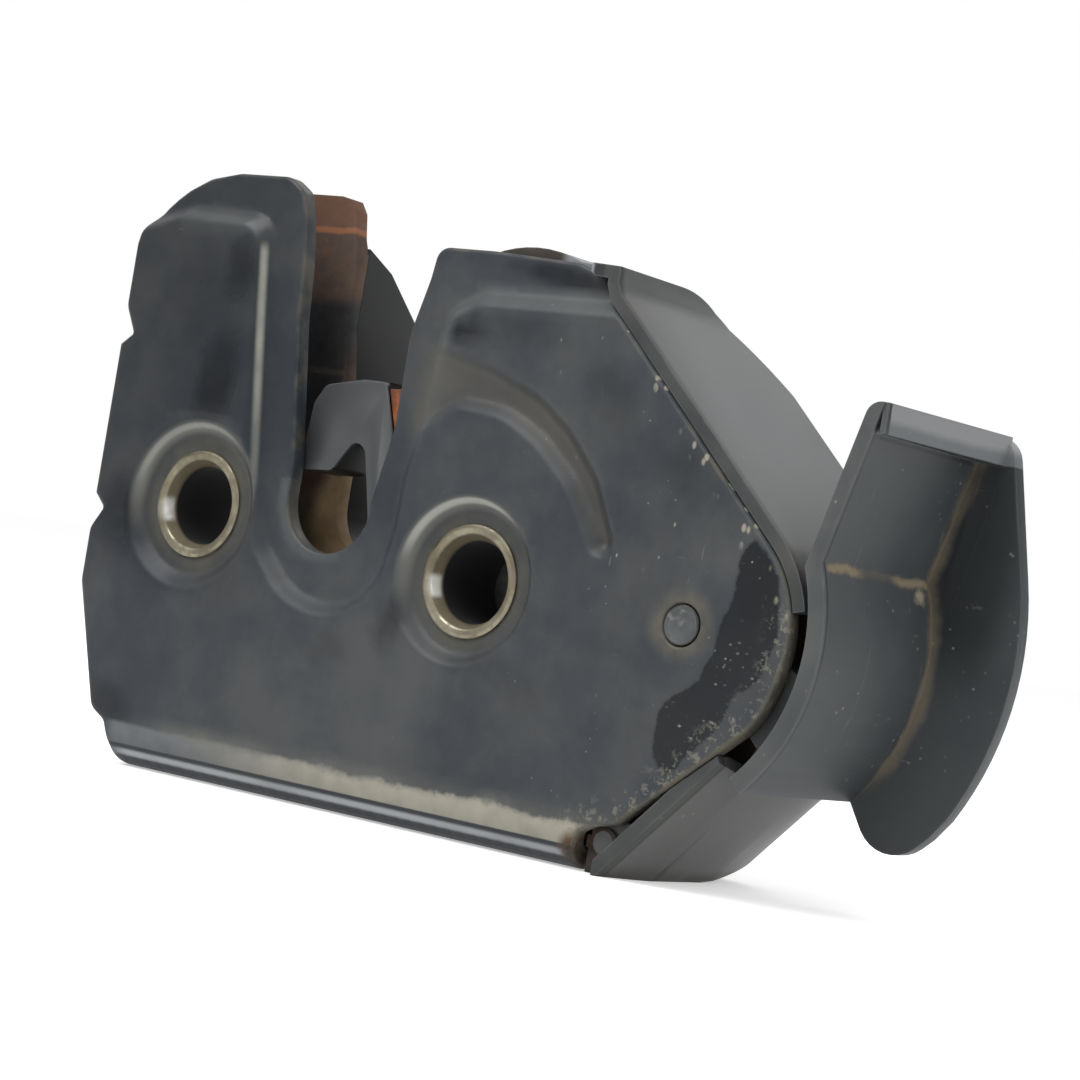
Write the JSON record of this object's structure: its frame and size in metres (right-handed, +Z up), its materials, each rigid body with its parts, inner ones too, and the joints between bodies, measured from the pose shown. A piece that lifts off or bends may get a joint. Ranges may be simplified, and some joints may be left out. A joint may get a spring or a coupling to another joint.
{
  "type": "tailgate latch",
  "caption": "Plate latch with a flared slot and forked catch for a striker, flanged mounting bushes, a moulded rear housing and a finger scoop lever",
  "frame": {"origin": "centre of the catch bush bore, in the plane of its front rim", "axes": "+X along the plates from the fixing bush to the lever, +Z up towards the slot's mouth, +Y from the plate's front face to the rear"},
  "size_m": [0.1045, 0.0262, 0.0667],
  "materials": {
    "plate_paint": "worn dark blue-grey gloss paint with dust and scratches",
    "rusty_steel": "brown rust over steel",
    "zinc": "yellowish zinc, worn bright at the rims",
    "rusty_core": "orange rust over steel",
    "jacket_plastic": "moulded grey, scuffed",
    "nylon": "greasy off-white",
    "spring_steel": "oiled steel",
    "stop_rubber": "matt black",
    "pawl_steel": "blanked steel, greasy",
    "lever_plastic": "grey moulded, dust in the creases",
    "housing_plastic": "grey moulded, finely textured",
    "screw_steel": "dull zinc"
  },
  "bodies": {
    "frame": {"front_plate": "plate_paint", "back_plate": "rusty_steel", "catch_bush": "zinc", "fixing_bush": "zinc", "lever_rivet": "plate_paint", "catch_washer_front": "nylon", "catch_washer_rear": "nylon", "catch_spring": "spring_steel", "stop_pin": "spring_steel", "stop_sleeve": "stop_rubber", "lever_washer": "nylon", "pawl_washer": "nylon", "pawl_spring": "spring_steel", "rear_housing": "housing_plastic", "housing_screws": "screw_steel", "housing_clip": "housing_plastic"},
    "catch": {"catch_core": "rusty_core", "catch_jacket": "jacket_plastic"},
    "lever": {"release_lever": "lever_plastic", "pawl": "pawl_steel", "pawl_dowel": "pawl_steel"}
  },
  "joints": [
    {"name": "lever_turn", "type": "hinge", "parent": "frame", "child": "lever", "pos_m": [0.027, 0, -0.0008], "axis": [0, -1, 0], "range_deg": [0, 25], "stiffness_Nm_per_rad": 0.05, "springref_deg": -28.65, "deforming": ["pawl_spring"]},
    {"name": "catch_turn", "type": "hinge", "parent": "frame", "child": "catch", "pos_m": [0, 0, 0], "axis": [0, 1, 0], "range_deg": [0, 48], "deforming": ["catch_spring"]}
  ],
  "couplings": [
    {"joint": "catch_turn", "follows": "lever_turn", "ratio": 1.9}
  ]
}
